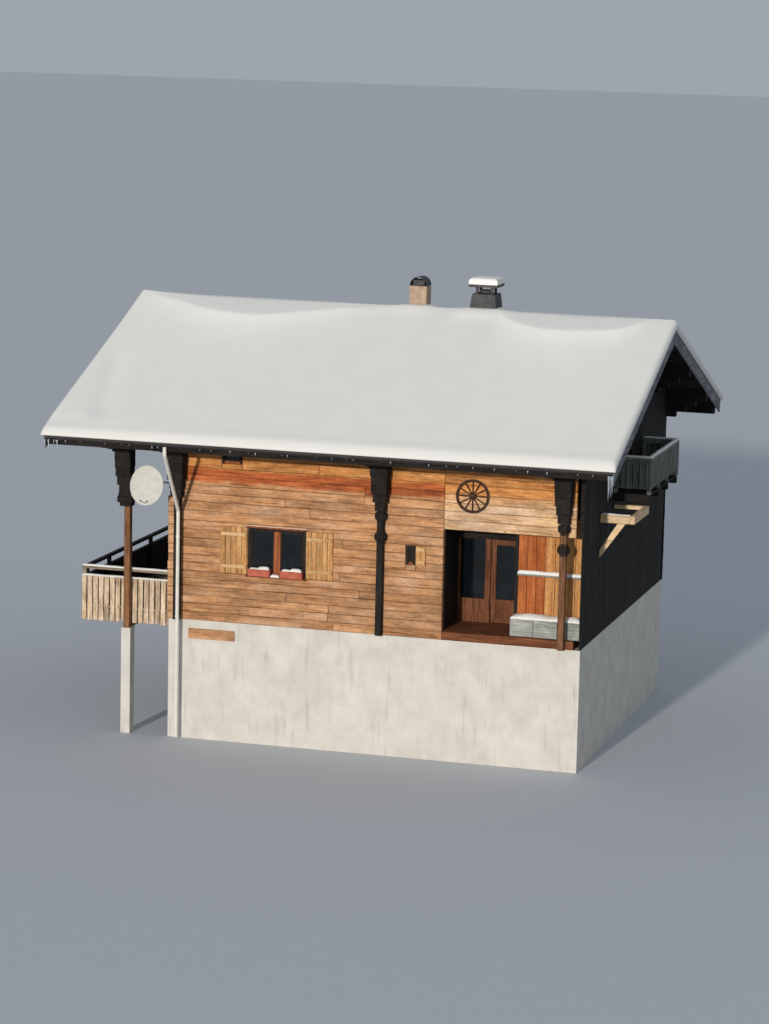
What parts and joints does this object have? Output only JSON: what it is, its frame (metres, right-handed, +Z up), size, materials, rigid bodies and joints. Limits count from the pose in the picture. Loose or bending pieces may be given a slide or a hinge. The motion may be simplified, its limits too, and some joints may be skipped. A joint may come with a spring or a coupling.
{
  "type": "alpine chalet",
  "caption": "Timber chalet on a rendered cellar storey, with a recessed porch, side gallery, gable balcony and a wide snow-covered purlin roof.",
  "frame": {"origin": "on the lowest ground, under the middle of the roof", "axes": "+X along the ridge towards the balcony gable, +Y from the porch front to the back, +Z up"},
  "size_m": [14.145, 13.66, 11.2901],
  "materials": {
    "render": "rough lime render",
    "new_timber": "fresh sawn softwood",
    "floor_boards": "worn boards",
    "grey_timber": "weathered grey boards",
    "wall_timber": "weathered squared logs",
    "dark_timber": "dark stained timber",
    "brown_joinery": "brown stained joinery",
    "red_boards": "red-brown upright boards",
    "pale_boards": "honey-coloured boards",
    "frosted_timber": "dark boards under frost",
    "balcony_timber": "grey-green boards",
    "glass": "clear panes",
    "terracotta": "fired clay colour",
    "roof_cover": "dark matt sheet",
    "gutter": "dark matt",
    "downpipe": "weathered zinc",
    "snow": "settled snow",
    "chimney_stone": "rendered masonry",
    "dark_metal": "dark weathered sheet",
    "dish": "off-white paint"
  },
  "bodies": {
    "house": {"attic_floor": "floor_boards", "back_barge_boards": "frosted_timber", "back_rafters": "dark_timber", "back_roof_boards": "dark_timber", "back_roof_cover": "roof_cover", "back_roof_snow": "snow", "back_wall": "wall_timber", "balcony_end_railings": "balcony_timber", "balcony_floor": "grey_timber", "balcony_outer_railing": "balcony_timber", "base_long_walls": "render", "base_side_walls": "render", "bracket_frame": "new_timber", "cellar_board": "new_timber", "chimney_cap_snow": "snow", "chimney_stacks": "chimney_stone", "corner_log_ends": "wall_timber", "downpipe": "downpipe", "eave_boards": "dark_timber", "eave_consoles": "dark_timber", "flower_boxes": "terracotta", "front_barge_boards": "frosted_timber", "front_rafters": "dark_timber", "front_roof_boards": "dark_timber", "front_roof_cover": "roof_cover", "front_roof_snow": "snow", "front_wall": "wall_timber", "front_wall_over_porch": "wall_timber", "gallery_beam": "grey_timber", "gallery_end_railings": "grey_timber", "gallery_floor": "grey_timber", "gallery_piers": "render", "gallery_posts": "brown_joinery", "gallery_side_railing": "grey_timber", "gutters": "gutter", "left_chimney_hood": "dark_metal", "left_gable_wall": "wall_timber", "main_floor": "floor_boards", "porch_bench_and_ledge": "grey_timber", "porch_door_frame": "brown_joinery", "porch_lintel": "dark_timber", "porch_pale_boards": "pale_boards", "porch_red_boards": "red_boards", "porch_side_walls": "wall_timber", "porch_sill_beam": "floor_boards", "purlin_corbels": "dark_timber", "right_chimney_cap": "chimney_stone", "right_chimney_flare": "dark_metal", "right_gable_wall": "dark_timber", "roof_purlins": "dark_timber", "satellite_dish": "dish", "shutters": "pale_boards", "wagon_wheel": "dark_timber", "wall_posts": "dark_timber", "window_frames": "brown_joinery", "window_glass": "glass"},
    "entry_door": {"entry_door": "brown_joinery", "entry_door_glass": "glass"}
  },
  "joints": [
    {"name": "entry_door_hinge", "type": "hinge", "parent": "house", "child": "entry_door", "pos_m": [4.0835, -3.22, 4.2], "axis": [0, 0, -1], "range_deg": [0, 100]}
  ]
}
